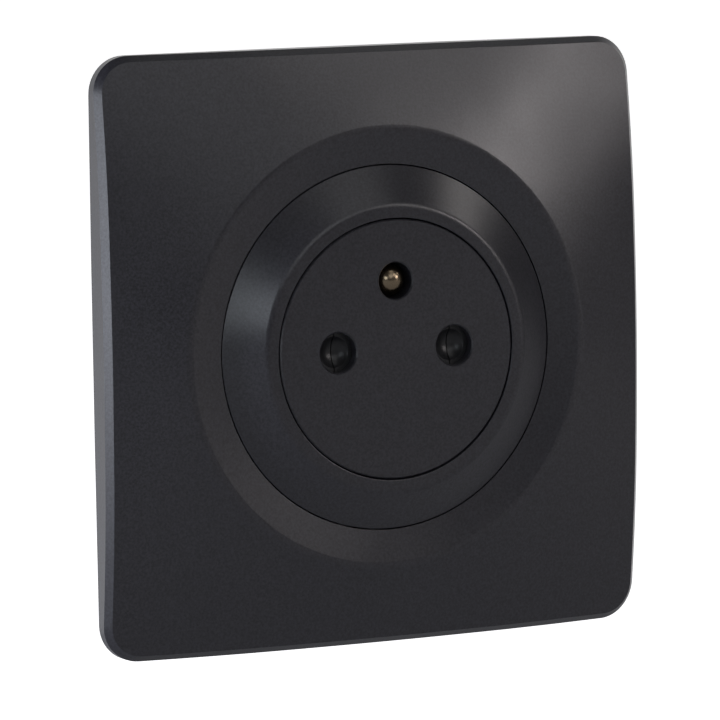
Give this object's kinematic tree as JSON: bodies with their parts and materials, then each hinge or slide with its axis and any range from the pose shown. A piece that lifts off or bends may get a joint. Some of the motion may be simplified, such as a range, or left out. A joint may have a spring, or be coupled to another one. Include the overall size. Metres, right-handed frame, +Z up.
{
  "type": "flush wall socket",
  "caption": "Flush wall socket: square bevelled cover plate, conical trim ring and a sprung round face that a plug pushes in, with shuttered holes, an earth pin and screw terminals behind.",
  "frame": {"origin": "in the wall plane, behind the centre of the round face, midway between the box screws", "axes": "+Z up, +X to the right seen from the room, +Y into the wall; the face looks along -Y"},
  "size_m": [0.0878, 0.0403, 0.0878],
  "materials": {
    "front_plastic": "anthracite, fine matt grain",
    "body_plastic": "moulded dark grey, satin",
    "shutter_plastic": "black, smooth moulded",
    "plated_pin": "nickel plated brass, polished",
    "contact_brass": "bright rolled brass",
    "spring_steel": "drawn wire",
    "zinc_steel": "pressed sheet, zinc plated",
    "screw_steel": "zinc plated, yellowish"
  },
  "bodies": {
    "housing": {"cover_plate": "front_plastic", "trim_ring": "front_plastic", "support_frame": "zinc_steel", "well_housing": "body_plastic", "rear_housing": "body_plastic", "housing_screws": "screw_steel", "earth_pin": "plated_pin", "earth_strap": "contact_brass", "contact_live": "contact_brass", "contact_neutral": "contact_brass", "terminal_live": "contact_brass", "terminal_neutral": "contact_brass", "terminal_earth": "contact_brass", "terminal_screw_live": "screw_steel", "terminal_screw_neutral": "screw_steel", "terminal_screw_earth": "screw_steel", "return_spring_right": "spring_steel", "return_spring_left": "spring_steel", "return_spring_bottom": "spring_steel"},
    "face": {"face_disc": "front_plastic", "shutter_cover": "body_plastic", "shutter_spring": "spring_steel"},
    "upper_shutter": {"shutter_slide_upper": "shutter_plastic"},
    "lower_shutter": {"shutter_slide_lower": "shutter_plastic"}
  },
  "joints": [
    {"name": "face_push", "type": "slide", "parent": "housing", "child": "face", "axis": [0, 1, 0], "range_m": [0, 0.014], "stiffness_N_per_m": 900, "springref_m": -0.009, "deforming": ["return_spring_right", "return_spring_left", "return_spring_bottom"]},
    {"name": "upper_shutter_slide", "type": "slide", "parent": "face", "child": "upper_shutter", "axis": [-1, 0, 0], "range_m": [0, 0.0026], "stiffness_N_per_m": 120, "springref_m": -0.004, "deforming": ["shutter_spring"]},
    {"name": "lower_shutter_slide", "type": "slide", "parent": "face", "child": "lower_shutter", "axis": [1, 0, 0], "range_m": [0, 0.0026], "stiffness_N_per_m": 120, "springref_m": -0.004}
  ],
  "couplings": [
    {"joint": "lower_shutter_slide", "follows": "upper_shutter_slide", "ratio": 1}
  ]
}
